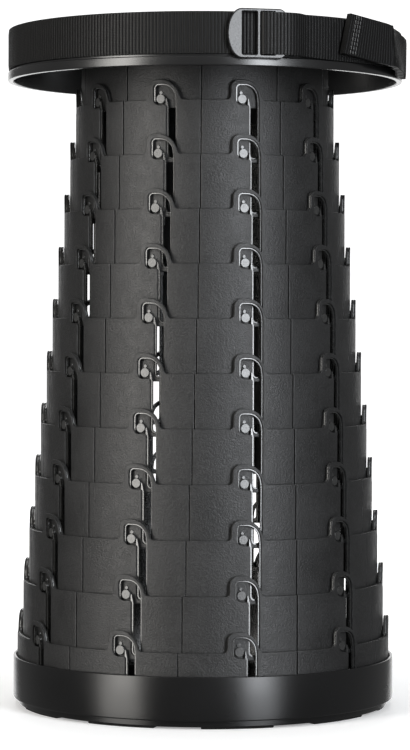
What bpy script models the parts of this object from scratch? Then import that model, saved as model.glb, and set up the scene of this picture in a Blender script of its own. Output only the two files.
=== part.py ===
"""Telescoping camp stool, standing open: a round seat on twelve nested rings that drop into each other.

Metres, +Z up. The origin is on the stool's axis, in the plane of the rubber feet. The front is -Y.
Each ring slides straight down in the next larger one; its small locking pins rest in that ring's hooked slots.
"""

import math

import bmesh
import bpy
from mathutils import Matrix, Vector

# Driving dimensions.
STEPS = 11  # tiers that slide; one more is fixed in the base
PLATES = 10  # curved plates round each tier
TIER_DROP = 0.03388  # how far each tier slides into the next one
TIER_RADIUS = 0.0798  # outer radius of the smallest tier
RADIUS_STEP = 0.0037
WALL = 0.0028
PLATE_HEIGHT = 0.0389
BASE_TIER_TOP = 0.0464  # top edge of the largest tier
FIRST_PLATE_ANGLE = 16.5  # degrees from the front, toward +X, of a plate centre on the smallest tier
TWIST = 0.0475  # degrees that a tier is turned back from the smallest one, times the square of its number
SMOOTH_ANGLE = math.radians(30)

# Facets across one plate, the seam beside it, and its hooked slot, about the plate's centre and top edge.
FACETS = 3
SEAM_WIDTH = 0.0006
SEAM_DEPTH = 0.0008
LUG = (
    (-0.0100, 0.0),
    (-0.0077, 0.0028),
    (-0.0074, 0.0085),
    (-0.0040, 0.0121),
    (0.0030, 0.0122),
    (0.0090, 0.0088),
    (0.0121, 0.0038),
    (0.0150, 0.0),
)
HOOKED_SLOT = (
    (-0.0039, 0.0062),
    (-0.0037, -0.0010),
    (0.0, -0.0034),
    (0.0036, 0.0006),
    (0.0057, -0.0045),
    (0.0057, -0.0350),
    (0.0103, -0.0350),
    (0.0103, 0.0010),
    (0.0076, 0.0068),
    (0.0040, 0.0090),
    (-0.0015, 0.0088),
)
PIN_RADIUS = 0.0029
PIN_SIDES = 6
PIN_REACH = 0.0022  # past the tier's outer face
PIN_SUNK = 0.0006
BASE_PIN_REACH = 0.0012
PIN_BELOW_TOP = TIER_DROP - 0.0005
GUIDE_WIDTH = 0.0068  # groove in the inner face that the pins below run down in
GUIDE_DEPTH = 0.0017

# Base tray and feet.
TRAY_RADIUS = 0.1231
TRAY_TOP = 0.0323
TRAY_EDGE = 0.0053
TRAY_BORE = 0.1210
TRAY_FLOOR = 0.0072
TRAY_UNDERSIDE = 0.0027
TRAY_HOLE = 0.0700
SNAP_GROOVE_RADIUS = 0.12205
SNAP_GROOVE_HEIGHT = 0.0072
FOOT_RING_INNER = 0.1040
FOOT_RING_OUTER = 0.1195
TRAY_WEB = 0.0050
FOOT_THICKNESS = 0.0024
FOOT_INNER = 0.1060
FOOT_OUTER = 0.1185
FOOT_SWEEP = 22.0
FOOT_BENDS = 4
FEET = 10
FIRST_FOOT = 10.5

# Seat, its hub and the screws that hold the smallest tier to it.
SEAT_TOP = 0.4346
SEAT_PLATE = 0.0030
SEAT_WALL_RADIUS = 0.1254
SEAT_BORE = 0.1236
SEAT_BOTTOM = 0.4020
RIM_RADIUS = 0.1274
RIM_TOP = 0.4076
HUB_OUTER = 0.0760
HUB_INNER = 0.0580
HUB_DEPTH = 0.0060
FLANGE = 0.0030
FLANGE_INNER = 0.0600
SCREWS = 5
SCREW_CIRCLE = 0.0680
SCREW_SHANK = 0.0016
SCREW_HEAD = 0.0036
SCREW_HEAD_HEIGHT = 0.0024
SCREW_REACH = 0.0046

# Webbing strap and its slider.
WEBBING_WIDTH = 0.0254
WEBBING_THICKNESS = 0.0014
STRAP_RADIUS = 0.12575
STRAP_MIDDLE = SEAT_TOP - WEBBING_WIDTH / 2
SLIDER_ANGLE = 14.0
SLIDER_LENGTH = 0.0370
SLIDER_HEIGHT = 0.0302
SLIDER_THICKNESS = 0.0026
SLIDER_RADIUS = 0.12785
SLIDER_BAR = 0.0026
SLIDER_SLOT = (0.0090, 0.0260)
SLIDER_END = 0.0090  # length of each rounded end
SLIDER_BENDS = 8
LAP_ROUTE = ((15.2, 0.1309), (18.5, 0.1312), (22.3, 0.1322), (25.0, 0.1314), (29.0, 0.1277))
LAP_END = 50.0
LAP_BENDS = 4
TAIL_ROUTE = ((0.0872, -0.0970), (0.1222, -0.0627), (0.1276, -0.0280))
TAIL_THICKNESS = 0.0036
TAIL_LIFT = 0.0036
TAIL_SLOPE = 0.11

ROUND_STEPS = 48
GAP = 0.0003
PLATE_ANGLE = math.radians(360 / PLATES)

collection = None
cutters = None


def clear_scene():
    for obj in list(bpy.data.objects):
        bpy.data.objects.remove(obj, do_unlink=True)


def new_collection(name):
    made = bpy.data.collections.new(name)
    bpy.context.scene.collection.children.link(made)
    return made


def material(name, color, roughness, metallic=0.0):
    made = bpy.data.materials.new(name)
    made.use_nodes = True
    shader = made.node_tree.nodes["Principled BSDF"]
    shader.inputs["Base Color"].default_value = (*color, 1.0)
    shader.inputs["Roughness"].default_value = roughness
    shader.inputs["Metallic"].default_value = metallic
    return made


def add_object(name, mesh, coat):
    obj = bpy.data.objects.new(name, mesh)
    collection.objects.link(obj)
    mesh.materials.clear()
    mesh.materials.append(coat)
    return obj


def mesh_of(name, bm):
    mesh = bpy.data.meshes.new(name)
    bmesh.ops.recalc_face_normals(bm, faces=bm.faces)
    bm.to_mesh(mesh)
    bm.free()
    mesh.shade_smooth()
    mesh.set_sharp_from_angle(angle=SMOOTH_ANGLE)
    return mesh


def hide_cutter(obj):
    obj.hide_render = True
    obj.display_type = "WIRE"
    cutters.objects.link(obj)


def cut(obj, cutter_mesh, name, operation="DIFFERENCE"):
    """A Boolean with a hidden object that holds cutter_mesh, placed as obj is."""
    cutter = bpy.data.objects.new(name, cutter_mesh)
    cutter.matrix_world = obj.matrix_world
    hide_cutter(cutter)
    modifier = obj.modifiers.new(name, "BOOLEAN")
    modifier.operation = operation
    modifier.object = cutter


def evaluated_mesh(obj):
    bpy.context.view_layer.update()
    graph = bpy.context.evaluated_depsgraph_get()
    return bpy.data.meshes.new_from_object(obj.evaluated_get(graph), depsgraph=graph)


def flat_solid(name, outlines, thickness):
    """The mesh of a flat outline with holes in it, centred on its own thickness."""
    curve = bpy.data.curves.new(name, "CURVE")
    curve.dimensions = "2D"
    curve.fill_mode = "BOTH"
    curve.extrude = thickness / 2
    for points in outlines:
        spline = curve.splines.new("POLY")
        spline.points.add(len(points) - 1)
        for point, (x, y) in zip(spline.points, points):
            point.co = (x, y, 0, 1)
        spline.use_cyclic_u = True
    obj = bpy.data.objects.new(name, curve)
    collection.objects.link(obj)
    mesh = evaluated_mesh(obj)
    bpy.data.objects.remove(obj)
    bm = bmesh.new()
    bm.from_mesh(mesh)
    bmesh.ops.remove_doubles(bm, verts=bm.verts, dist=1e-6)
    return mesh_of(name, bm)


def turned(name, profile, coat, steps=ROUND_STEPS, closed=True):
    """A solid of revolution about Z from (radius, height) points, listed top to bottom on the outer side."""
    bm = bmesh.new()
    verts = [bm.verts.new((radius, 0, height)) for radius, height in profile]
    for start, end in zip(verts, verts[1:]):
        bm.edges.new((start, end))
    if closed:
        bm.edges.new((verts[-1], verts[0]))
    mesh = bpy.data.meshes.new(name)
    bm.to_mesh(mesh)
    bm.free()
    obj = add_object(name, mesh, coat)
    screw = obj.modifiers.new("Turn", "SCREW")
    screw.steps = steps
    screw.render_steps = steps
    screw.use_merge_vertices = True
    screw.merge_threshold = 1e-5
    screw.use_smooth_shade = True
    return obj


def cylinder_mesh(name, radius, low, high, at=(0, 0), sides=8):
    bm = bmesh.new()
    place = Matrix.Translation((at[0], at[1], (low + high) / 2))
    bmesh.ops.create_cone(
        bm, cap_ends=True, segments=sides, radius1=radius, radius2=radius, depth=high - low, matrix=place
    )
    return mesh_of(name, bm)


def box_mesh(name, low, high):
    bm = bmesh.new()
    bmesh.ops.create_cube(bm, size=1)
    size = Vector(high) - Vector(low)
    bmesh.ops.scale(bm, vec=size, verts=bm.verts)
    bmesh.ops.translate(bm, vec=(Vector(high) + Vector(low)) / 2, verts=bm.verts)
    return mesh_of(name, bm)


def tier_radius(tier):
    return TIER_RADIUS + RADIUS_STEP * tier


def tier_top(tier):
    return BASE_TIER_TOP + TIER_DROP * (STEPS - tier)


def tier_angle(tier):
    """Where a plate's centre is, in degrees from the front toward +X."""
    return FIRST_PLATE_ANGLE - TWIST * tier**2


def flat_plate(tier, top, has_slot):
    """One plate before it is bent: x along the tier, y up from the top edge, +z outward."""
    radius = tier_radius(tier)
    half = radius * PLATE_ANGLE / 2
    if has_slot:
        upper = list(LUG)
        holes = [HOOKED_SLOT]
    else:
        upper = []
        holes = []
    outline = [(-half, -PLATE_HEIGHT), (-half, top), *upper, (half, top), (half, -PLATE_HEIGHT)]
    return flat_solid(f"plate_{tier:02d}", [outline, *holes], WALL)


def pin_mesh(tier, reach):
    """A pin on the outer face of a flat plate, sunk a little into it so that the two join."""
    offset = tier_radius(tier) * math.radians(tier_angle(tier + 1) - tier_angle(tier))
    face = WALL / 2
    return cylinder_mesh("pin", PIN_RADIUS, face - PIN_SUNK, face + reach, (offset, -PIN_BELOW_TOP), PIN_SIDES)


def cut_at_facets(bm, radius):
    """Edges where the plate will fold, and beside its seams."""
    half = radius * PLATE_ANGLE / 2
    folds = [half * (2 * i / FACETS - 1) for i in range(1, FACETS)]
    shoulders = [half - SEAM_WIDTH / 2, SEAM_WIDTH / 2 - half]
    for x in folds + shoulders:
        everything = bm.verts[:] + bm.edges[:] + bm.faces[:]
        bmesh.ops.bisect_plane(bm, geom=everything, dist=1e-6, plane_co=(x, 0, 0), plane_no=(1, 0, 0))


def bend(bm, radius):
    """Wraps the flat plate on the tier's radius, one flat facet at a time, and sinks the outer face at its seams."""
    facet = PLATE_ANGLE / FACETS
    for vert in bm.verts:
        angle = vert.co.x / radius
        index = min(FACETS - 1, max(0, int((angle + PLATE_ANGLE / 2) / facet)))
        low = index * facet - PLATE_ANGLE / 2
        share = (angle - low) / facet
        outer = vert.co.z > WALL / 2 - 1e-6
        at_seam = abs(abs(angle) - PLATE_ANGLE / 2) < 1e-4
        reach = radius - WALL / 2 + vert.co.z
        if outer and at_seam:
            reach -= SEAM_DEPTH
        start = Vector((math.sin(low), -math.cos(low), 0)) * reach
        end = Vector((math.sin(low + facet), -math.cos(low + facet), 0)) * reach
        height = vert.co.y
        vert.co = start.lerp(end, share)
        vert.co.z = height


def ring_of_plates(tier, flat):
    """The bent plate, repeated round the tier and joined at the seams into one solid."""
    radius = tier_radius(tier)
    half = radius * PLATE_ANGLE / 2
    bm = bmesh.new()
    bm.from_mesh(flat)
    cut_at_facets(bm, radius)
    sides = [face for face in bm.faces if all(abs(abs(v.co.x) - half) < 1e-6 for v in face.verts)]
    bmesh.ops.delete(bm, geom=sides, context="FACES")
    bend(bm, radius)
    bmesh.ops.spin(
        bm,
        geom=bm.verts[:] + bm.edges[:] + bm.faces[:],
        cent=(0, 0, 0),
        axis=(0, 0, 1),
        angle=PLATE_ANGLE * (PLATES - 1),
        steps=PLATES - 1,
        use_duplicate=True,
    )
    bmesh.ops.remove_doubles(bm, verts=bm.verts, dist=2e-6)
    return mesh_of(f"tier_{tier:02d}", bm)


def make_tier(tier, coat):
    has_slot = tier > 0
    top = 0.0 if has_slot else flange_top() - tier_top(0)
    plate = bpy.data.objects.new("flat_plate", flat_plate(tier, top, has_slot))
    collection.objects.link(plate)
    if has_slot:
        low = (-GUIDE_WIDTH / 2, -PLATE_HEIGHT - WALL, -WALL)
        groove = box_mesh("guide", low, (GUIDE_WIDTH / 2, 0, GUIDE_DEPTH - WALL / 2))
        cut(plate, groove, "guide")
    reach = BASE_PIN_REACH if tier == STEPS else PIN_REACH
    cut(plate, pin_mesh(tier, reach), "pin", "UNION")
    flat = evaluated_mesh(plate)
    for cutter in list(cutters.objects):
        bpy.data.objects.remove(cutter)
    bpy.data.objects.remove(plate)
    ring = add_object(f"tier_{tier:02d}", ring_of_plates(tier, flat), coat)
    ring.location.z = tier_top(tier)
    ring.rotation_euler.z = math.radians(tier_angle(tier))
    return ring


def seat_underside():
    return SEAT_TOP - SEAT_PLATE


def flange_top():
    return seat_underside() - HUB_DEPTH - GAP


def around(radius, degrees):
    """A point at this radius and angle from the front toward +X."""
    angle = math.radians(degrees)
    return radius * math.sin(angle), -radius * math.cos(angle)


def screw_places():
    return [around(SCREW_CIRCLE, 360 * i / SCREWS) for i in range(SCREWS)]


def joined(name, meshes):
    bm = bmesh.new()
    for mesh in meshes:
        bm.from_mesh(mesh)
    return mesh_of(name, bm)


def screw_hole_cutter(low, high):
    radius = SCREW_SHANK + GAP
    return joined("screw_holes", [cylinder_mesh("hole", radius, low, high, place) for place in screw_places()])


def make_seat(coat):
    under = seat_underside()
    profile = [
        (0, SEAT_TOP),
        (SEAT_WALL_RADIUS, SEAT_TOP),
        (SEAT_WALL_RADIUS, RIM_TOP),
        (RIM_RADIUS, RIM_TOP),
        (RIM_RADIUS, SEAT_BOTTOM),
        (SEAT_BORE, SEAT_BOTTOM),
        (SEAT_BORE, under),
        (HUB_OUTER, under),
        (HUB_OUTER, under - HUB_DEPTH),
        (HUB_INNER, under - HUB_DEPTH),
        (HUB_INNER, under),
        (0, under),
    ]
    seat = turned("seat_shell", profile, coat, closed=False)
    low = under - HUB_DEPTH - GAP
    cut(seat, screw_hole_cutter(low, low + SCREW_REACH + 2 * GAP), "hub_holes")


def add_flange(ring):
    """An inward flange at the top of the smallest tier, with clearance holes for the seat's screws."""
    top = flange_top()
    outer = TIER_RADIUS - WALL / 2
    profile = [(outer, top), (outer, top - FLANGE), (FLANGE_INNER, top - FLANGE), (FLANGE_INNER, top)]
    flange = turned("flange", profile, ring.data.materials[0], steps=PLATES * FACETS)
    mesh = evaluated_mesh(flange)
    bpy.data.objects.remove(flange)
    mesh.transform(ring.matrix_basis.inverted())
    cut(ring, mesh, "flange", "UNION")
    holes = screw_hole_cutter(top - 2 * FLANGE, top + FLANGE)
    holes.transform(ring.matrix_basis.inverted())
    cut(ring, holes, "flange_holes")


def make_seat_screws(coat):
    top = flange_top() + SCREW_REACH
    head_top = flange_top() - FLANGE - GAP
    profile = [
        (0, top),
        (SCREW_SHANK, top),
        (SCREW_SHANK, head_top),
        (SCREW_HEAD, head_top),
        (SCREW_HEAD, head_top - SCREW_HEAD_HEIGHT),
        (0, head_top - SCREW_HEAD_HEIGHT),
    ]
    for i, (x, y) in enumerate(screw_places(), 1):
        screw = turned(f"seat_screw_{i}", profile, coat, steps=8, closed=False)
        screw.location = (x, y, 0)


def make_tray(coat):
    groove_middle = tier_top(STEPS) - PIN_BELOW_TOP
    groove_top = groove_middle + SNAP_GROOVE_HEIGHT / 2
    groove_bottom = groove_middle - SNAP_GROOVE_HEIGHT / 2
    profile = [
        (TRAY_RADIUS, TRAY_TOP),
        (TRAY_RADIUS, TRAY_EDGE),
        (FOOT_RING_OUTER, TRAY_EDGE),
        (FOOT_RING_OUTER, TRAY_UNDERSIDE),
        (FOOT_RING_INNER, TRAY_UNDERSIDE),
        (FOOT_RING_INNER, TRAY_WEB),
        (TRAY_HOLE, TRAY_WEB),
        (TRAY_HOLE, TRAY_FLOOR),
        (TRAY_BORE, TRAY_FLOOR),
        (TRAY_BORE, groove_bottom),
        (SNAP_GROOVE_RADIUS, groove_bottom),
        (SNAP_GROOVE_RADIUS, groove_top),
        (TRAY_BORE, groove_top),
        (TRAY_BORE, TRAY_TOP),
    ]
    turned("base_tray", profile, coat)


def make_feet(coat):
    """Rubber pads under the tray, one below each plate."""
    half = FOOT_SWEEP / 2
    turns = [FOOT_SWEEP * i / FOOT_BENDS for i in range(FOOT_BENDS + 1)]
    outer = [around(FOOT_OUTER, turn - half) for turn in turns]
    inner = [around(FOOT_INNER, half - turn) for turn in turns]
    pad = flat_solid("foot", [outer + inner], FOOT_THICKNESS)
    for i in range(FEET):
        foot = add_object(f"foot_{i + 1:02d}", pad, coat)
        foot.location.z = FOOT_THICKNESS / 2
        foot.rotation_euler.z = math.radians(FIRST_FOOT + 360 / FEET * i)


def make_strap(coat):
    """The webbing's turn round the seat wall."""
    low = STRAP_MIDDLE - WEBBING_WIDTH / 2
    outer = STRAP_RADIUS + WEBBING_THICKNESS
    turned("strap", [(outer, SEAT_TOP), (outer, low), (STRAP_RADIUS, low), (STRAP_RADIUS, SEAT_TOP)], coat)


def make_slider(coat):
    """A flat three-bar slider, standing against the webbing. Its parent is on the axis that it goes round."""
    pivot = bpy.data.objects.new("slider_pivot", None)
    collection.objects.link(pivot)
    pivot.rotation_euler.z = math.radians(SLIDER_ANGLE)
    straight = SLIDER_LENGTH / 2 - SLIDER_END
    turn = [math.pi * i / SLIDER_BENDS - math.pi / 2 for i in range(SLIDER_BENDS + 1)]
    right = [(straight + SLIDER_END * math.cos(a), SLIDER_HEIGHT / 2 * math.sin(a)) for a in turn]
    left = [(-x, -y) for x, y in right]
    width, height = SLIDER_SLOT
    slots = []
    for side in (-1, 1):
        near = side * SLIDER_BAR / 2
        far = near + side * width
        slots.append([(near, -height / 2), (far, -height / 2), (far, height / 2), (near, height / 2)])
    slider = add_object("strap_slider", flat_solid("slider", [right + left, *slots], SLIDER_THICKNESS), coat)
    slider.parent = pivot
    slider.location = (0, -SLIDER_RADIUS - SLIDER_THICKNESS / 2, STRAP_MIDDLE)
    slider.rotation_euler.x = math.radians(90)


def webbing_from_above(name, inside, outside, coat):
    """Webbing standing on edge, from the outlines of its two faces seen from above."""
    obj = add_object(name, flat_solid(name, [inside + outside[::-1]], WEBBING_WIDTH), coat)
    obj.location.z = STRAP_MIDDLE
    return obj


def make_lap(coat):
    """The sewn end of the webbing: over the slider, then flat on the turn of strap behind it."""
    last_angle, last_radius = LAP_ROUTE[-1]
    step = (LAP_END - last_angle) / LAP_BENDS
    route = list(LAP_ROUTE)
    route += [(last_angle + step * i, last_radius) for i in range(1, LAP_BENDS + 1)]
    inside = [around(radius, angle) for angle, radius in route]
    outside = [around(radius + WEBBING_THICKNESS, angle) for angle, radius in route]
    webbing_from_above("strap_lap", inside, outside, coat)


def make_tail(coat):
    """The folded free end: a panel that stands off the seat and a flap that turns back onto it."""
    points = [Vector(point) for point in TAIL_ROUTE]
    ahead = [(b - a).normalized() for a, b in zip(points, points[1:])]
    along = [ahead[0], (ahead[0] + ahead[1]).normalized(), ahead[1]]
    outward = [Vector((way.y, -way.x)) * TAIL_THICKNESS for way in along]
    outside = [tuple(point + out) for point, out in zip(points, outward)]
    tail = webbing_from_above("strap_tail", list(TAIL_ROUTE), outside, coat)
    start = points[0]
    for vert in tail.data.vertices:
        vert.co.z += TAIL_LIFT - TAIL_SLOPE * (vert.co.to_2d() - start).length


def main():
    global collection, cutters
    clear_scene()
    collection = new_collection("camp_stool")
    cutters = new_collection("cutters")
    nylon = material("charcoal_nylon", (0.030, 0.030, 0.031), 0.55)
    glossy = material("black_gloss_plastic", (0.012, 0.012, 0.013), 0.25)
    rubber = material("black_rubber", (0.010, 0.010, 0.010), 0.85)
    webbing = material("black_webbing", (0.012, 0.012, 0.012), 0.9)
    satin = material("grey_satin_plastic", (0.10, 0.10, 0.105), 0.4)
    steel = material("screw_steel", (0.35, 0.35, 0.36), 0.35, 1.0)
    rings = [make_tier(tier, nylon) for tier in range(STEPS + 1)]
    add_flange(rings[0])
    make_seat(glossy)
    make_seat_screws(steel)
    make_tray(glossy)
    make_feet(rubber)
    make_strap(webbing)
    make_slider(satin)
    make_lap(webbing)
    make_tail(webbing)


main()
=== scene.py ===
"""Looks of the telescoping camp stool.

Plates and pins on every tier, a turned seat and tray, ribbed webbing with its slider, and the materials, lights
and camera.
"""

import math

import bmesh
import bpy
import numpy as np
from mathutils import Matrix, Vector


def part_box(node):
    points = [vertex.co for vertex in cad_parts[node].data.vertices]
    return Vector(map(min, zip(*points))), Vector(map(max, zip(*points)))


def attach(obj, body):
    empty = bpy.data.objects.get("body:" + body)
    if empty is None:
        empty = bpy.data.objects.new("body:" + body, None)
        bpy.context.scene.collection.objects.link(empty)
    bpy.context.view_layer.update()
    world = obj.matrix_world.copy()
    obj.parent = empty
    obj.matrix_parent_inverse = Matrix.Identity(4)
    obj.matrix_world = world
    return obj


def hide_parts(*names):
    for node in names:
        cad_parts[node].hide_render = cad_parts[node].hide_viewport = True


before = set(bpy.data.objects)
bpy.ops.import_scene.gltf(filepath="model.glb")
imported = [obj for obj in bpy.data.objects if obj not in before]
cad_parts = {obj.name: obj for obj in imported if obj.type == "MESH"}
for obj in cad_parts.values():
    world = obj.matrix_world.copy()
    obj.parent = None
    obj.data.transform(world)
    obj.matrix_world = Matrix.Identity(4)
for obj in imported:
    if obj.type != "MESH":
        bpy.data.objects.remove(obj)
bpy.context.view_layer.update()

# Sizes of the CAD model, in metres.
TIERS = 12
PLATES = 10
TIER_RADIUS = 0.0798
RADIUS_STEP = 0.0037
WALL = 0.0028
PLATE_HEIGHT = 0.0389
TIER_DROP = 0.03388
FIRST_PLATE_ANGLE = 16.5
TWIST = 0.0475
PIN_RADIUS = 0.0029
PIN_REACH = 0.0022
BASE_PIN_REACH = 0.0012
PIN_BELOW_TOP = TIER_DROP - 0.0005
PLATE_SWEEP = 2 * math.pi / PLATES

SEAT_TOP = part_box("seat_shell")[1][2]
SEAT_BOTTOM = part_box("seat_shell")[0][2]
FOOT_RING_BOTTOM = 0.0013

# Points closer than this are one point.
WELD = 1e-6

# Plate detail.
SEAM_GAP = 0.0006
EDGE_ROUND = 0.00042
PLATE_CORNER = 0.0005
GUIDE_DEPTH = 0.0017
LAYER_OVERLAP = 0.00005
BEND_STEP = math.radians(1.5)

# A pin's rounded rim, how deep it is set in its plate, and the small boss above it.
HEAD_RIM = 0.0002
HEAD_SUNK = 0.0006
HEAD_SIDES = 28
BOSS_X, BOSS_Y = -0.0003, 0.0039
BOSS_RADIUS, BOSS_REACH = 0.0012, 0.0007

# The webbing, its ribs, its thinner edges, and how far it runs on past a slanted end.
WEBBING_WIDTH = 0.0254
WEBBING_THICKNESS = 0.0014
WEBBING_ROWS = 9
RIB_PITCH = 0.00216
RIB_DEPTH = 0.00042
RIB_CUTS = 8
RIB_POWER = 0.2
EDGE_THINNER = 0.0003
OVERRUN = 0.006

# The strap. It hangs lower on the right: this grows between two angles and fades between two more, in degrees
# from the front.
STRAP_RADIUS = 0.12575
STRAP_MIDDLE = SEAT_TOP - WEBBING_WIDTH / 2
STRAP_SAG = 0.0017
SAG_GROWS = (20, 42)
SAG_FADES = (110, 200)

# The sewn end's route from the slider rightward, as (degrees from the front, radius). From the last one on it
# lies flat.
LAP_BENDS = [
    (15.3, 0.1287),
    (16.1, 0.1306),
    (18.5, 0.1313),
    (22.3, 0.1323),
    (25.0, 0.1314),
    (28.0, 0.1282),
    (31.0, 0.1276),
]
LAP_END = 50.0
LAP_FLAT_BENDS = 6
LAP_LEAST_SAG = 0.0004
LAP_MEAN_RADIUS = 0.129

# The folded end: its route's corners, how its height and slant change along it, how its lower edge stands out
# from just before its crease, and its stitches.
TAIL_THICKNESS = 0.0036
TAIL_CORNERS = [(0.0846, -0.0998), (0.1124, -0.0728), (0.1152, -0.0680), (0.1247, -0.0310)]
TAIL_CREASE = 0.0390
TAIL_RISE, TAIL_DROOP = 0.0022, 0.11
TAIL_SLANT, TAIL_SLANT_LOST = 0.26, 0.20
FLARE, FLARE_LEAD, FLARE_LENGTH = 0.16, 0.004, 0.040
STITCH_LINES = (0.0050, 0.0072, 0.0094)
STITCHES = 9
STITCH_SPREAD = 0.94
STITCH_OUT = 0.0037
STITCH_RADIUS, STITCH_SHAPE = 0.0010, (0.28, 0.28, 1.25)

SLIDER_ANGLE = 14.0
SLIDER_RADIUS = 0.12785

# Corners as (x, y, rounding), about the plate's centre and its top edge.
LUG = [
    (-0.0077, 0.0, 0.0028),
    (-0.0074, 0.0125, 0.0050),
    (0.0094, 0.0125, 0.0123),
    (0.0132, 0.0, 0.0030),
]
SLOT_FACE = [
    (-0.0043, 0.0097, 0.0028),
    (0.0097, 0.0097, 0.0086),
    (0.0111, -0.0012, 0.0040),
    (0.0111, -0.0367, 0.0028),
    (0.0043, -0.0367, 0.0028),
    (0.0043, -0.0033, 0.0013),
    (-0.0043, -0.0033, 0.0037),
]
SLOT_BACK = [
    (-0.0034, -0.0389, 0.0),
    (-0.0033, 0.0090, 0.0020),
    (0.0090, 0.0090, 0.0080),
    (0.0102, -0.0012, 0.0036),
    (0.0102, -0.0359, 0.0021),
    (0.0054, -0.0359, 0.0021),
    (0.0054, -0.0046, 0.0030),
    (0.0043, 0.0007, 0.0003),
    (0.00345, 0.0009, 0.0003),
    (0.0034, -0.0389, 0.0),
]

WARM, COOL, WHITE = (1.0, 0.975, 0.93), (0.93, 0.96, 1.0), (1, 1, 1)
WORLD_STRENGTH = 0.20

# Name, degrees from the front toward +X, distance, height, height it is aimed at, size, radiance and colour.
SOFTBOXES = [
    ("left_softbox", -49, 1.8, 0.50, 0.50, (0.80, 2.3), 5.8, WARM),
    ("left_core", -46, 1.7, 0.80, 0.80, (0.40, 1.8), 3.8, WARM),
    ("right_softbox", 34, 1.8, 0.50, 0.50, (0.60, 2.3), 5.5, COOL),
    ("right_core", 31, 1.7, 0.80, 0.80, (0.36, 1.8), 9.0, COOL),
    ("back_left", -165, 2.0, 0.50, 0.50, (0.8, 2.0), 1.7, WHITE),
    ("back_right", 165, 2.0, 0.50, 0.50, (0.8, 2.0), 1.7, WHITE),
    ("top_softbox", 180, 0.3, 2.4, 0.0, (1.8, 1.8), 1.8, WHITE),
]

# The camera that matches the photograph, its tilt and roll in degrees.
CAMERA_PLACE = (0.0007, -1.754, 0.250)
CAMERA_TILT, CAMERA_ROLL = 1.21, 0.2
CAMERA_LENS, CAMERA_SENSOR = 129.6, 36


def tier_radius(tier):
    return TIER_RADIUS + RADIUS_STEP * tier


def tier_top(tier):
    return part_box("tier_11")[0][2] + PLATE_HEIGHT + TIER_DROP * (TIERS - 1 - tier)


def tier_angle(tier):
    return math.radians(FIRST_PLATE_ANGLE - TWIST * tier**2)


def body_of_tier(tier):
    """The CAD body that carries a tier: the smallest is on the seat, the largest on the base."""
    if tier == 0:
        return "seat"
    return "base" if tier == TIERS - 1 else f"tier_{tier:02d}"


def around(radius, angle, height=0.0):
    """A point about the stool's axis, at an angle from the front toward +X."""
    return Vector((radius * math.sin(angle), -radius * math.cos(angle), height))


# ---------------------------------------------------------------- materials


class Nodes:
    """A material's node tree, with short calls to add and join its nodes."""

    def __init__(self, name):
        self.material = bpy.data.materials.new(name)
        self.material.use_nodes = True
        self.tree = self.material.node_tree
        self.shader = self.tree.nodes["Principled BSDF"]
        self.place = self.add("ShaderNodeTexCoord").outputs["Object"]

    def add(self, kind, **values):
        node = self.tree.nodes.new(kind)
        for name, value in values.items():
            if name in node.inputs:
                node.inputs[name].default_value = value
            else:
                setattr(node, name, value)
        return node

    def join(self, start, end):
        self.tree.links.new(start, end)

    def put(self, value, socket):
        """Sets the socket to a number, or joins it to an output."""
        if isinstance(value, (int, float)):
            socket.default_value = value
        else:
            self.join(value, socket)

    def noise(self, scale, detail=3.0, roughness=0.5):
        node = self.add("ShaderNodeTexNoise", Scale=scale, Detail=detail, Roughness=roughness)
        self.join(self.place, node.inputs["Vector"])
        return node.outputs["Fac"]

    def ramp(self, value, low, high, out_low, out_high):
        node = self.add("ShaderNodeMapRange")
        names = ("From Min", "From Max", "To Min", "To Max")
        for name, number in zip(names, (low, high, out_low, out_high)):
            node.inputs[name].default_value = number
        self.join(value, node.inputs["Value"])
        return node.outputs["Result"]

    def spread(self, noise, low=0.0, high=1.0):
        """The middle of a noise's range, stretched from low to high."""
        return self.ramp(noise, 0.3, 0.7, low, high)

    def math(self, operation, a, b):
        node = self.add("ShaderNodeMath", operation=operation)
        self.put(a, node.inputs[0])
        self.put(b, node.inputs[1])
        return node.outputs["Value"]

    def colours(self, value, dark, light):
        node = self.add("ShaderNodeMix", data_type="RGBA")
        self.join(value, node.inputs["Factor"])
        node.inputs["A"].default_value = (*dark, 1)
        node.inputs["B"].default_value = (*light, 1)
        return node.outputs["Result"]

    def bump(self, height, distance, strength=1.0, after=None):
        node = self.add("ShaderNodeBump", Strength=strength, Distance=distance)
        self.join(height, node.inputs["Height"])
        if after:
            self.join(after, node.inputs["Normal"])
        return node.outputs["Normal"]

    def coat(self, base, rough, normal, level=None):
        """The material, with its shader's colour, roughness, normal and, if one is given, specular level."""
        self.join(base, self.shader.inputs["Base Color"])
        self.put(rough, self.shader.inputs["Roughness"])
        self.join(normal, self.shader.inputs["Normal"])
        if level is not None:
            self.shader.inputs["Specular IOR Level"].default_value = level
        return self.material


def nylon():
    """Moulded glass-filled nylon: spark-eroded grain, a cloudy sheen, and rubbed patches."""
    m = Nodes("charcoal_nylon")
    grain = m.noise(950, 2.0, 0.7)
    cloud = m.noise(34, 4.0, 0.6)
    scuff = m.noise(150, 6.0, 0.75)
    shade = m.math("ADD", m.spread(cloud, 0.0, 0.7), m.ramp(grain, 0.40, 0.72, -0.3, 0.9))
    base = m.colours(shade, (0.0050, 0.0050, 0.0050), (0.0185, 0.0185, 0.0187))
    rough = m.math("ADD", m.ramp(scuff, 0.35, 0.68, 0.0, 0.12), m.spread(cloud, 0.39, 0.45))
    soft = m.bump(m.noise(60, 3.0), 0.0004, 0.25)
    return m.coat(base, rough, m.bump(grain, 0.00036, 0.8, soft))


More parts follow.
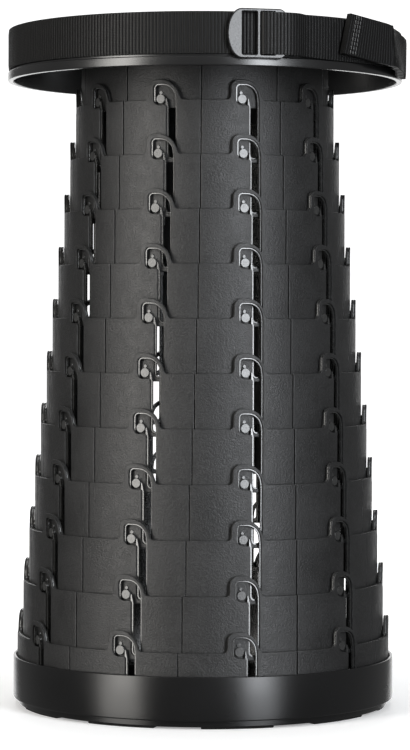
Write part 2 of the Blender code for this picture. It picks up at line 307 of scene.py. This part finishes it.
def smooth_nylon(name, low, high, level):
    """The same nylon where the mould was polished, on pins and ledges, with scratches that wear it dull."""
    m = Nodes(name)
    base = m.colours(m.spread(m.noise(420, 4.0, 0.65)), (0.014, 0.014, 0.014), (0.034, 0.034, 0.033))
    rough = m.spread(m.noise(900, 4.0), low, high)
    return m.coat(base, rough, m.bump(m.noise(1100, 3.0), 0.00005, 0.35), level)


def gloss(name, low, high, level):
    """Semi-gloss black plastic with a faint orange-peel and fine wiping marks."""
    m = Nodes(name)
    smear = m.noise(14, 2.0, 0.5)
    base = m.colours(m.spread(smear), (0.0035, 0.0035, 0.0036), (0.0060, 0.0060, 0.0062))
    return m.coat(base, m.spread(smear, low, high), m.bump(m.noise(420, 2.0), 0.00003, 0.35), level)


def webbing():
    """Woven polyester: crossing threads on the ribs, and painted shade that darkens the colour in the valleys
    between them.
    """
    m = Nodes("black_webbing")
    fine = m.noise(1700, 2.0, 0.6)
    wave = m.add("ShaderNodeTexWave", Scale=330.0, Distortion=2.5, bands_direction="Z")
    m.join(m.place, wave.inputs["Vector"])
    rib = m.add("ShaderNodeAttribute", attribute_name="rib").outputs["Fac"]
    weave = m.math("ADD", m.math("MULTIPLY", wave.outputs["Fac"], 0.35), m.math("MULTIPLY", fine, 0.65))
    # Painted shade: the colour darkens from the rib crests into the valleys between them, following the
    # rib-height attribute.
    valley_shade_mask = m.ramp(rib, 0.35, 0.97, 0.0, 1.0)
    weave_and_valley_shade = m.math("MULTIPLY", valley_shade_mask, m.ramp(weave, 0.25, 0.75, 0.35, 1.0))
    base = m.colours(weave_and_valley_shade, (0.0003, 0.0003, 0.0003), (0.0034, 0.0034, 0.0033))
    return m.coat(base, m.ramp(weave_and_valley_shade, 0.0, 1.0, 0.80, 0.34), m.bump(weave, 0.00005, 0.5), 0.22)


def slider_plastic():
    """The slider's smooth black plastic."""
    m = Nodes("slider_satin")
    grain = m.noise(1500, 2.0)
    base = m.colours(m.spread(m.noise(90, 3.0)), (0.006, 0.006, 0.0062), (0.010, 0.010, 0.0102))
    return m.coat(base, m.spread(grain, 0.20, 0.28), m.bump(grain, 0.00005, 0.4))


def rubber():
    m = Nodes("foot_rubber")
    grain = m.noise(900, 3.0)
    base = m.colours(m.spread(grain), (0.004, 0.004, 0.004), (0.011, 0.011, 0.0105))
    return m.coat(base, m.spread(grain, 0.75, 0.9), m.bump(grain, 0.0002, 0.5), 0.2)


def seat_grain():
    """The seat's top: pebbled, slightly matt."""
    m = Nodes("seat_top_grain")
    cells = m.add("ShaderNodeTexVoronoi", Scale=520.0)
    m.join(m.place, cells.inputs["Vector"])
    cloud = m.noise(26, 4.0)
    base = m.colours(m.spread(cloud), (0.012, 0.012, 0.0122), (0.020, 0.020, 0.0203))
    return m.coat(base, m.spread(cloud, 0.42, 0.52), m.bump(cells.outputs["Distance"], 0.00035, 0.6))


def steel():
    m = Nodes("zinc_steel")
    patch = m.noise(300, 3.0)
    m.shader.inputs["Metallic"].default_value = 1.0
    base = m.colours(m.spread(patch), (0.30, 0.30, 0.31), (0.45, 0.45, 0.44))
    return m.coat(base, m.spread(patch, 0.28, 0.42), m.bump(patch, 0.0001, 0.3))


def thread():
    m = Nodes("grey_thread")
    twist = m.noise(2400, 2.0)
    base = m.colours(m.spread(twist), (0.05, 0.05, 0.049), (0.15, 0.15, 0.146))
    return m.coat(base, 0.7, m.bump(twist, 0.0002, 0.6))


# ---------------------------------------------------------------- mesh helpers


def add_piece(name, mesh, coat, body, replaces=()):
    obj = bpy.data.objects.new(name, mesh)
    bpy.context.scene.collection.objects.link(obj)
    mesh.materials.append(coat)
    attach(obj, body)
    if replaces:
        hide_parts(*replaces)
    return obj


def rounded(corners, closed=True, pieces=7):
    """The points of an outline whose (x, y, rounding) corners are turned into arcs."""
    points = []
    count = len(corners)
    for i, (x, y, reach) in enumerate(corners):
        here = Vector((x, y))
        ends = not closed and i in (0, count - 1)
        if reach <= 0 or ends:
            points.append(here)
            continue
        before = (Vector(corners[i - 1][:2]) - here).normalized()
        after = (Vector(corners[(i + 1) % count][:2]) - here).normalized()
        half = before.angle(after) / 2
        back = reach / math.tan(half)
        centre = here + (before + after).normalized() * (reach / math.sin(half))
        start = here + before * back - centre
        sweep = start.angle_signed(here + after * back - centre)
        points += [centre + Matrix.Rotation(-sweep * j / pieces, 2) @ start for j in range(pieces + 1)]
    return points


def finished(name, bm, sharp=None):
    """The bmesh as a smooth mesh, with edges sharp where their faces meet at more than this many degrees."""
    mesh = bpy.data.meshes.new(name)
    bm.to_mesh(mesh)
    bm.free()
    mesh.shade_smooth()
    if sharp:
        mesh.set_sharp_from_angle(angle=math.radians(sharp))
    return mesh


def ring(bm, radius, height, steps):
    """Vertices round the stool's axis, or one vertex that stands for them all when they are on it."""
    if radius < WELD:
        return [bm.verts.new((0, 0, height))] * steps
    return [bm.verts.new(around(radius, math.tau * i / steps, height)) for i in range(steps)]


def skin(bm, rings, loop=False):
    """Faces from each ring of vertices to the next, and from the last to the first in a loop."""
    pairs = list(zip(rings, rings[1:]))
    if loop:
        pairs.append((rings[-1], rings[0]))
    for a, b in pairs:
        for i in range(len(a)):
            j = (i + 1) % len(a)
            bm.faces.new(list(dict.fromkeys([a[i], b[i], b[j], a[j]])))


def flat_mesh(name, outlines, thickness, edge, sharp=35):
    """A flat piece with holes and rounded edges, lying in XY, centred on its thickness."""
    curve = bpy.data.curves.new(name, "CURVE")
    curve.dimensions = "2D"
    curve.fill_mode = "BOTH"
    curve.extrude = thickness / 2 - edge
    curve.bevel_depth = edge
    curve.bevel_resolution = 1
    curve.offset = -edge
    for points in outlines:
        spline = curve.splines.new("POLY")
        spline.points.add(len(points) - 1)
        for point, (x, y) in zip(spline.points, points):
            point.co = (x, y, 0, 1)
        spline.use_cyclic_u = True
    obj = bpy.data.objects.new(name, curve)
    bpy.context.scene.collection.objects.link(obj)
    graph = bpy.context.evaluated_depsgraph_get()
    mesh = bpy.data.meshes.new_from_object(obj.evaluated_get(graph), depsgraph=graph)
    bpy.data.objects.remove(obj)
    bm = bmesh.new()
    bm.from_mesh(mesh)
    bmesh.ops.remove_doubles(bm, verts=bm.verts, dist=WELD)
    bmesh.ops.recalc_face_normals(bm, faces=bm.faces)
    bm.to_mesh(mesh)
    bm.free()
    mesh.materials.clear()
    mesh.shade_smooth()
    mesh.set_sharp_from_angle(angle=math.radians(sharp))
    return mesh


def arrays(mesh):
    """A mesh as numpy arrays: points, each loop's vertex, each face's loop count, and each loop's normal.

    The loops of a level face take the face's own normal, so the round edge doesn't shade it.
    """
    points = np.empty(len(mesh.vertices) * 3, np.float32)
    mesh.vertices.foreach_get("co", points)
    corner = np.empty(len(mesh.loops), np.int32)
    mesh.loops.foreach_get("vertex_index", corner)
    counts = np.empty(len(mesh.polygons), np.int32)
    mesh.polygons.foreach_get("loop_total", counts)
    normals = np.empty(len(mesh.loops) * 3, np.float32)
    mesh.corner_normals.foreach_get("vector", normals)
    faces = np.empty(len(mesh.polygons) * 3, np.float32)
    mesh.polygons.foreach_get("normal", faces)
    flat = np.repeat(faces.reshape(-1, 3), counts, axis=0)
    normals = normals.reshape(-1, 3)
    level = np.abs(flat[:, 2]) > 0.999
    normals[level] = flat[level]
    return points.reshape(-1, 3).astype(float), corner, counts, normals.astype(float)


def mesh_from(name, parts):
    """One mesh from several (points, corners, counts, normals)."""
    points = np.concatenate([part[0] for part in parts])
    starts = np.cumsum([0] + [len(part[0]) for part in parts[:-1]])
    corner = np.concatenate([part[1] + start for part, start in zip(parts, starts)])
    counts = np.concatenate([part[2] for part in parts])
    normals = np.concatenate([part[3] for part in parts])
    mesh = bpy.data.meshes.new(name)
    mesh.vertices.add(len(points))
    mesh.vertices.foreach_set("co", points.ravel())
    mesh.loops.add(len(corner))
    mesh.loops.foreach_set("vertex_index", corner)
    mesh.polygons.add(len(counts))
    first_loops = np.concatenate([[0], np.cumsum(counts[:-1])])
    mesh.polygons.foreach_set("loop_start", first_loops.astype(np.int32))
    mesh.update(calc_edges=True)
    mesh.shade_smooth()
    mesh.normals_split_custom_set(normals.tolist())
    return mesh


def turn_about_z(part, angle):
    points, corner, counts, normals = part
    c, s = math.cos(angle), math.sin(angle)
    turn = np.array([[c, s, 0], [-s, c, 0], [0, 0, 1]])
    return points @ turn, corner, counts, normals @ turn


def bent(part, radius, top):
    """Wraps a flat part, x along the tier and +z outward, on a radius, with its y = 0 line at height top."""
    points, corner, counts, normals = part
    angle = points[:, 0] / radius
    reach = radius - WALL / 2 + points[:, 2]
    placed = np.stack([reach * np.sin(angle), -reach * np.cos(angle), points[:, 1] + top], axis=1)
    at = angle[corner]
    c, s = np.cos(at), np.sin(at)
    x, y, z = normals.T
    turned = np.stack([x * c + z * s, x * s - z * c, y], axis=1)
    return placed, corner, counts, turned


def cut_in_strips(mesh, radius):
    """Upright edges close enough together for the sheet to bend smoothly."""
    bm = bmesh.new()
    bm.from_mesh(mesh)
    strips = round(PLATE_SWEEP / BEND_STEP)
    for i in range(1, strips):
        x = radius * (PLATE_SWEEP * i / strips - PLATE_SWEEP / 2)
        everything = bm.verts[:] + bm.edges[:] + bm.faces[:]
        bmesh.ops.bisect_plane(bm, geom=everything, dist=1e-7, plane_co=(x, 0, 0), plane_no=(1, 0, 0))
    bm.to_mesh(mesh)
    bm.free()


def turned(name, profile, steps=192):
    """A turned mesh from (radius, height, rounding) corners, in the order top, outside, bottom, inside."""
    closed = profile[0][0] > WELD
    bm = bmesh.new()
    rings = [ring(bm, x, z, steps) for x, z in rounded(profile, closed, pieces=4)]
    skin(bm, rings, closed)
    bmesh.ops.recalc_face_normals(bm, faces=bm.faces)
    return finished(name, bm, 32)


# ---------------------------------------------------------------- tiers


def plate_outline(radius, top, lug=()):
    """A plate's corners from its lower left one, with any lug between its upper two."""
    half = radius * PLATE_SWEEP / 2 - SEAM_GAP / 2
    left = [(-half, -PLATE_HEIGHT, PLATE_CORNER), (-half, top, PLATE_CORNER)]
    right = [(half, top, PLATE_CORNER), (half, -PLATE_HEIGHT, PLATE_CORNER)]
    return [*left, *lug, *right]


def plate_parts(tier):
    """One plate as flat arrays: the face layer with its wider slot, and the back layer with the guide."""
    radius = tier_radius(tier)
    if tier == 0:
        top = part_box("tier_00")[1][2] - tier_top(0)
        mesh = flat_mesh("plate", [rounded(plate_outline(radius, top))], WALL, EDGE_ROUND)
        cut_in_strips(mesh, radius)
        return [arrays(mesh)]
    face_depth = WALL - GUIDE_DEPTH + LAYER_OVERLAP
    outline = rounded(plate_outline(radius, 0.0, LUG))
    face = flat_mesh("face", [outline, rounded(SLOT_FACE)], face_depth, EDGE_ROUND)
    back_outline = outline + rounded(SLOT_BACK, closed=False)[::-1]
    back = flat_mesh("back", [back_outline], GUIDE_DEPTH, EDGE_ROUND / 2)
    parts = []
    for mesh, lift in ((face, (WALL - face_depth) / 2), (back, (GUIDE_DEPTH - WALL) / 2)):
        mesh.transform(Matrix.Translation((0, 0, lift)))
        cut_in_strips(mesh, radius)
        parts.append(arrays(mesh))
    return parts


def make_plates(tier, coat, ledge_coat):
    """A tier's ten plates. Their back layer, which shows as the ledge in each slot, is smooth."""
    name = f"plates_{tier:02d}"
    one = [bent(part, tier_radius(tier), tier_top(tier)) for part in plate_parts(tier)]
    angles = [tier_angle(tier) + PLATE_SWEEP * i for i in range(PLATES)]
    mesh = mesh_from(name, [turn_about_z(part, angle) for part in one for angle in angles])
    add_piece(name, mesh, coat, body_of_tier(tier), [f"tier_{tier:02d}"])
    mesh.materials.append(ledge_coat)
    index = np.zeros(len(mesh.polygons), np.int32)
    index[len(one[0][2]) * PLATES :] = 1
    mesh.polygons.foreach_set("material_index", index)


def head_profile(radius, reach):
    """A moulded head from its axis outward: a flat disc, a rounded rim and a straight side into the plate."""
    return [
        (0.0, reach),
        (radius - HEAD_RIM - HEAD_RIM / 2, reach),
        (radius - HEAD_RIM, reach),
        (radius - HEAD_RIM * 0.35, reach - HEAD_RIM * 0.2),
        (radius, reach - HEAD_RIM),
        (radius, -HEAD_SUNK),
    ]


def add_head(bm, place, x, y, radius, reach):
    """A head at (x, y) in a frame whose Z points out of the plate, closed at its root."""
    turn = [math.tau * i / HEAD_SIDES for i in range(HEAD_SIDES)]
    rings = []
    for r, z in head_profile(radius, reach):
        if r == 0:
            rings.append([bm.verts.new(place @ Vector((x, y, z)))] * HEAD_SIDES)
        else:
            spots = [Vector((x + r * math.cos(a), y + r * math.sin(a), z)) for a in turn]
            rings.append([bm.verts.new(place @ spot) for spot in spots])
    skin(bm, rings)
    bm.faces.new(rings[-1][::-1])


def make_pins(tier, coat):
    """The ten locking pins of a tier, each with the low round boss that stands above it."""
    name = f"pins_{tier:02d}"
    reach = BASE_PIN_REACH if tier == TIERS - 1 else PIN_REACH
    bm = bmesh.new()
    for i in range(PLATES):
        angle = tier_angle(tier + 1) + PLATE_SWEEP * i
        place = Matrix.Translation(around(tier_radius(tier), angle, tier_top(tier) - PIN_BELOW_TOP))
        place = place @ Matrix.Rotation(angle, 4, "Z") @ Matrix.Rotation(math.radians(90), 4, "X")
        add_head(bm, place, 0.0, 0.0, PIN_RADIUS, reach)
        if tier < TIERS - 1:
            add_head(bm, place, BOSS_X, BOSS_Y, BOSS_RADIUS, BOSS_REACH)
    bmesh.ops.recalc_face_normals(bm, faces=bm.faces)
    add_piece(name, finished(name, bm, 50), coat, body_of_tier(tier))


# ---------------------------------------------------------------- seat and base


def make_seat(coat, top_coat):
    """The seat: a dished, grained top, the wall the strap goes round, a rim below it, and a hub underneath."""
    low, high = SEAT_BOTTOM, SEAT_TOP
    dish, rim_top, under = high - 0.0008, low + 0.0056, high - 0.003
    hub_bottom = under - 0.006
    wall, rim, inside = 0.1254, 0.1274, 0.1236
    hub_outside, hub_inside = 0.0760, 0.0580
    profile = [
        (0.0, dish, 0),
        (0.1120, dish, 0.0010),
        (0.1150, high, 0.0010),
        (wall, high, 0.0012),
        (wall, rim_top, 0.0004),
        (rim, rim_top, 0.0006),
        (rim, low, 0.0007),
        (inside, low, 0.0006),
        (inside, under, 0.0010),
        (hub_outside, under, 0.0008),
        (hub_outside, hub_bottom, 0.0006),
        (hub_inside, hub_bottom, 0.0006),
        (hub_inside, under, 0.0008),
        (0.0, under, 0),
    ]
    grain_radius, grain_bottom = 0.1135, high - 0.0012
    mesh = turned("seat", profile, steps=256)
    add_piece("seat", mesh, coat, "seat", ["seat_shell"])
    mesh.materials.append(top_coat)
    for face in mesh.polygons:
        if face.center.z > grain_bottom and face.center.to_2d().length < grain_radius:
            face.material_index = 1


def make_flange(coat):
    """The smallest tier's inward flange, which the screws fix to the seat's hub."""
    outside, inside = 0.0785, 0.0600
    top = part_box("tier_00")[1][2]
    under = top - 0.003
    profile = [(outside, top, 0), (outside, under, 0), (inside, under, 0.0005), (inside, top, 0.0005)]
    add_piece("tier_flange", turned("tier_flange", profile), coat, "seat")


def make_tray(coat):
    """The glossy band round the largest tier, with a floor, a hole in it and the ring that the feet are on."""
    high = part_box("base_tray")[1][2]
    edge, floor_top, floor_bottom = 0.0053, 0.0072, 0.0050
    outside, inside, hole = 0.1231, 0.1210, 0.0700
    ring_outside, ring_inside = 0.1195, 0.1040
    profile = [
        (outside, high, 0.0006),
        (outside, edge, 0.0008),
        (ring_outside, edge, 0.0004),
        (ring_outside, FOOT_RING_BOTTOM, 0.0006),
        (ring_inside, FOOT_RING_BOTTOM, 0.0006),
        (ring_inside, floor_bottom, 0.0006),
        (hole, floor_bottom, 0.0005),
        (hole, floor_top, 0.0005),
        (inside, floor_top, 0.0005),
        (inside, high, 0.0006),
    ]
    add_piece("tray", turned("tray", profile, steps=256), coat, "base", ["base_tray"])


def make_feet(coat):
    """Ten curved rubber pads."""
    inner, outer, thickness, edge = 0.1060, 0.1185, 0.0024, 0.0006
    first, sweep, bends = math.radians(10.5), math.radians(22), 16
    for i in range(PLATES):
        middle = first + PLATE_SWEEP * i
        angles = [middle - sweep / 2 + sweep * j / bends for j in range(bends + 1)]
        outline = [around(outer, a).to_2d() for a in angles] + [around(inner, a).to_2d() for a in angles[::-1]]
        mesh = flat_mesh("foot", [outline], thickness, edge)
        mesh.transform(Matrix.Translation((0, 0, thickness / 2)))
        add_piece(f"rubber_foot_{i + 1:02d}", mesh, coat, "base", [f"foot_{i + 1:02d}"])


# ---------------------------------------------------------------- webbing


def webbing_mesh(name, route, thickness, rise, lean=None, flare=None):
    """Ribbed webbing standing on edge along a route seen from above, closed into a loop if the route is.

    rise is how far it is above the strap's usual height, lean its slant, and flare how far its lower edge
    stands out, each a function of the distance along it. lean and flare are given together.
    """
    points = [Vector(p) for p in route]
    loop = (points[0] - points[-1]).length < WELD
    along = [0.0]
    for a, b in zip(points, points[1:]):
        along.append(along[-1] + (b - a).length)
    length = along[-1]
    px, py = [p.x for p in points], [p.y for p in points]
    if lean:
        before = points[0] + (points[0] - points[1]).normalized() * OVERRUN
        after = points[-1] + (points[-1] - points[-2]).normalized() * OVERRUN
        px, py = [before.x, *px, after.x], [before.y, *py, after.y]
        along = [-OVERRUN, *along, length + OVERRUN]
    count = round(length / RIB_PITCH) * RIB_CUTS
    samples = np.linspace(0, length, count + 1)
    step = length / count * 3

    def spot(at):
        return np.array((np.interp(at, along, px), np.interp(at, along, py)))

    def place(at):
        """A point of the route, and the outward direction there."""
        if loop:
            at = at % length
            low, high = (at - step) % length, (at + step) % length
        else:
            low, high = max(at - step, along[0]), min(at + step, along[-1])
        way = Vector(spot(high) - spot(low)).normalized()
        return Vector(spot(at)), Vector((way.y, -way.x))

    bm = bmesh.new()
    rings, crests = [], []
    for i in range(count if loop else count + 1):
        crest = abs(math.cos(math.pi * i / RIB_CUTS)) ** RIB_POWER
        swell = RIB_DEPTH * (crest - 1)
        outer, inner = [], []
        for j in range(WEBBING_ROWS + 1):
            height = WEBBING_WIDTH * (j / WEBBING_ROWS - 0.5)
            if lean:
                at = samples[i] + lean(samples[i]) * height
                here, out = place(at)
                here = here - out * flare(samples[i]) * height
                lift = rise(at)
            elif j == 0:
                here, out = place(samples[i])
                lift = rise(samples[i])
            z = STRAP_MIDDLE + height + lift
            reach = thickness + swell - (EDGE_THINNER if j in (0, WEBBING_ROWS) else 0.0)
            outer.append(bm.verts.new((here.x + out.x * reach, here.y + out.y * reach, z)))
            inner.append(bm.verts.new((here.x - out.x * swell, here.y - out.y * swell, z)))
        rings.append(outer + inner[::-1])
        crests += [crest] * len(rings[-1])
    skin(bm, rings, loop)
    if not loop:
        bm.faces.new(rings[0])
        bm.faces.new(rings[-1][::-1])
    bmesh.ops.recalc_face_normals(bm, faces=bm.faces)
    mesh = finished(name, bm, 70)
    # The rib's height, 1 on a crest and 0 in a valley, which the webbing's colour reads to paint shade in the
    # valleys.
    mesh.attributes.new("rib", "FLOAT", "POINT").data.foreach_set("value", crests)
    return mesh, length


def smooth_route(points, pieces=10):
    """Points on a Catmull-Rom curve through these."""
    ends = [points[0] * 2 - points[1], *points, points[-1] * 2 - points[-2]]
    made = []
    for i in range(1, len(ends) - 2):
        a, b, c, d = ends[i - 1 : i + 3]
        for j in range(pieces):
            t = j / pieces
            square = (2 * a - 5 * b + 4 * c - d) * t * t
            cube = (3 * b - a - 3 * c + d) * t**3
            made.append(0.5 * (2 * b + (c - a) * t + square + cube))
    made.append(ends[-2])
    return made


def ease(value, low, high):
    """A smooth rise from 0 at low to 1 at high."""
    share = min(max((value - low) / (high - low), 0.0), 1.0)
    return share * share * (3 - 2 * share)


def strap_rise(angle):
    """The strap's height above its usual one, by its angle in degrees from the front."""
    return -STRAP_SAG * ease(angle, *SAG_GROWS) * (1 - ease(angle, *SAG_FADES))


def make_strap(coat):
    """One turn of webbing round the seat."""
    steps = 720
    route = [around(STRAP_RADIUS, math.tau * i / steps).to_2d() for i in range(steps)]
    route.append(route[0].copy())

    def rise(along):
        return strap_rise(math.degrees(along / STRAP_RADIUS) % 360)

    mesh, length = webbing_mesh("strap_turn", route, WEBBING_THICKNESS, rise)
    strap = add_piece("strap_turn", mesh, coat, "seat", ["strap"])


def make_lap(coat):
    """The sewn end: up through the slider, over its end and flat on the turn of strap behind it."""
    flat_from, flat_radius = LAP_BENDS[-1]
    steps = range(1, LAP_FLAT_BENDS + 1)
    flat = [(flat_from + (LAP_END - flat_from) * i / LAP_FLAT_BENDS, flat_radius) for i in steps]
    route = smooth_route([around(r, math.radians(a)).to_2d() for a, r in LAP_BENDS + flat])

    def rise(along):
        return min(strap_rise(LAP_BENDS[0][0] + math.degrees(along / LAP_MEAN_RADIUS)), -LAP_LEAST_SAG)

    mesh, length = webbing_mesh("strap_end", route, WEBBING_THICKNESS, rise)
    lap = add_piece("strap_end", mesh, coat, "slider", ["strap_lap"])


def tail_rise(along):
    """The tab's height above the strap's usual one: it droops toward its crease."""
    return TAIL_RISE - TAIL_DROOP * along


def tail_lean(along):
    """The slant across the tab: its free end is cut at a slant, its crease is nearly upright."""
    return TAIL_SLANT - TAIL_SLANT_LOST * ease(along, 0, TAIL_CREASE)


def tail_flare(along):
    """How much further out the tab's lower edge stands, past its crease, per metre of width."""
    share = (along - TAIL_CREASE + FLARE_LEAD) / FLARE_LENGTH
    return FLARE * math.sin(math.pi * min(max(share, 0.0), 1.0))


def make_tail(coat, stitch_coat):
    """The folded, stitched free end, standing off the seat and turning back onto it."""
    corners = [Vector(p) for p in TAIL_CORNERS]
    route = smooth_route(corners, 12)
    mesh, length = webbing_mesh("strap_tab", route, TAIL_THICKNESS, tail_rise, tail_lean, tail_flare)
    tail = add_piece("strap_tab", mesh, coat, "seat", ["strap_tail"])
    way = (corners[1] - corners[0]).normalized()
    out = Vector((way.y, -way.x))
    bm = bmesh.new()
    for line in STITCH_LINES:
        for i in range(STITCHES):
            height = WEBBING_WIDTH * ((i + 0.5) / STITCHES - 0.5) * STITCH_SPREAD
            at = corners[0] + way * (line + tail_lean(line) * height) + out * STITCH_OUT
            place = (at.x, at.y, STRAP_MIDDLE + height + tail_rise(line))
            stitch = bmesh.ops.create_icosphere(bm, subdivisions=2, radius=STITCH_RADIUS)["verts"]
            bmesh.ops.scale(bm, vec=STITCH_SHAPE, verts=stitch)
            bmesh.ops.translate(bm, vec=place, verts=stitch)
    add_piece("tab_stitches", finished("tab_stitches", bm), stitch_coat, "seat")


def make_slider(coat):
    """A three-bar slider: a half-round left end, a squarer right end, and two windows beside its middle bar."""
    length, height, thickness, edge = 0.0370, 0.0301, 0.0026, 0.0007
    end, corner, bends = 0.0090, 0.0048, 24
    bar, window_width, window_height, window_corner = 0.0024, 0.0090, 0.0256, 0.0006
    window_shift, window_rise, drop = 0.0010, 0.0002, 0.0006
    straight = length / 2 - end
    turn = [math.pi * i / bends - math.pi / 2 for i in range(bends + 1)]
    left = [(-straight - end * math.cos(a), -height / 2 * math.sin(a)) for a in turn]
    x, y, joint = length / 2, height / 2, straight - 0.001
    right = rounded([(joint, -y, 0), (x, -y, corner), (x, y, corner), (joint, y, 0)], closed=False)
    windows = []
    for side in (-1, 1):
        near = side * bar / 2 + window_shift
        far = side * (bar / 2 + window_width) + window_shift
        low, high = -window_height / 2 + window_rise, window_height / 2 + window_rise
        window = [(near, low), (far, low), (far, high), (near, high)]
        windows.append(rounded([(*point, window_corner) for point in window]))
    mesh = flat_mesh("slider_frame", [right + left, *windows], thickness, edge, sharp=20)
    place = Matrix.Translation((0, -SLIDER_RADIUS - thickness / 2, STRAP_MIDDLE - drop))
    place = Matrix.Rotation(math.radians(SLIDER_ANGLE), 4, "Z") @ place
    mesh.transform(place @ Matrix.Rotation(math.radians(90), 4, "X"))
    add_piece("slider_frame", mesh, coat, "slider", ["strap_slider"])


# ---------------------------------------------------------------- stage, lights and camera


def make_stage():
    """A pale floor that curves up into a wall all round, seen by the camera but not by the stool's gloss."""
    profile = [(0.0, 0.0), (0.5, 0.0), (1.5, 0.0), (3.5, 0.0), (5.0, 0.2), (5.8, 0.9), (6.0, 2.2), (6.0, 6.0)]
    bm = bmesh.new()
    skin(bm, [ring(bm, p.x, p.y, steps=96) for p in smooth_route([Vector(p) for p in profile], 6)])
    mesh = finished("floor", bm)
    floor = bpy.data.objects.new("floor", mesh)
    bpy.context.scene.collection.objects.link(floor)
    m = Nodes("pale_floor")
    m.join(m.colours(m.noise(3), (0.80, 0.80, 0.80), (0.83, 0.83, 0.83)), m.shader.inputs["Base Color"])
    m.shader.inputs["Roughness"].default_value = 0.6
    m.shader.inputs["Specular IOR Level"].default_value = 0.2
    # It glows less near the stool, which paints a shadow round it and lets the cast contact shadow show.
    distance = m.add("ShaderNodeVectorMath", operation="LENGTH")
    m.join(m.place, distance.inputs[0])
    m.shader.inputs["Emission Color"].default_value = (1, 1, 1, 1)
    glow_and_painted_shadow = m.ramp(distance.outputs["Value"], 0.13, 0.9, 0.30, 1.0)
    m.join(glow_and_painted_shadow, m.shader.inputs["Emission Strength"])
    mesh.materials.append(m.material)
    floor.visible_diffuse = False
    floor.visible_glossy = False


def add_light(name, azimuth, distance, height, aim, size, radiance, color):
    """A softbox that faces a point on the stool's axis."""
    data = bpy.data.lights.new(name, "AREA")
    data.shape = "RECTANGLE"
    data.size, data.size_y = size
    data.energy = radiance * math.pi * size[0] * size[1]
    data.color = color
    light = bpy.data.objects.new(name, data)
    bpy.context.scene.collection.objects.link(light)
    light.location = around(distance, math.radians(azimuth), height)
    facing = Vector((0, 0, aim)) - light.location
    light.rotation_euler = facing.to_track_quat("-Z", "Y").to_euler()
    light.visible_camera = False


def make_lights():
    world = bpy.context.scene.world or bpy.data.worlds.new("studio")
    bpy.context.scene.world = world
    world.use_nodes = True
    background = world.node_tree.nodes["Background"]
    background.inputs["Color"].default_value = (1, 1, 1, 1)
    background.inputs["Strength"].default_value = WORLD_STRENGTH
    for softbox in SOFTBOXES:
        add_light(*softbox)


def make_camera():
    data = bpy.data.cameras.new("camera")
    data.sensor_width = CAMERA_SENSOR
    data.lens = CAMERA_LENS
    data.clip_end = 50
    camera = bpy.data.objects.new("camera", data)
    bpy.context.scene.collection.objects.link(camera)
    tilt = Matrix.Rotation(math.radians(90 - CAMERA_TILT), 4, "X")
    roll = Matrix.Rotation(math.radians(CAMERA_ROLL), 4, "Z")
    camera.matrix_world = Matrix.Translation(CAMERA_PLACE) @ tilt @ roll
    bpy.context.scene.camera = camera


def main():
    make_camera()
    make_stage()
    make_lights()
    bpy.context.scene.view_settings.view_transform = "Standard"
    plate_coat, webbing_coat, steel_coat = nylon(), webbing(), steel()
    ledge_coat = smooth_nylon("ledge_nylon", 0.18, 0.25, 1.0)
    pin_coat = smooth_nylon("pin_nylon", 0.19, 0.27, 0.62)
    for tier in range(TIERS):
        make_plates(tier, plate_coat, ledge_coat)
        make_pins(tier, pin_coat)
    make_seat(gloss("seat_rim_gloss", 0.23, 0.27, 0.75), seat_grain())
    make_flange(plate_coat)
    make_tray(gloss("base_gloss", 0.25, 0.28, 0.40))
    make_feet(rubber())
    make_strap(webbing_coat)
    make_lap(webbing_coat)
    make_tail(webbing_coat, thread())
    make_slider(slider_plastic())
    for i in range(1, 6):
        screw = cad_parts[f"seat_screw_{i}"]
        screw.data.materials.clear()
        screw.data.materials.append(steel_coat)


main()
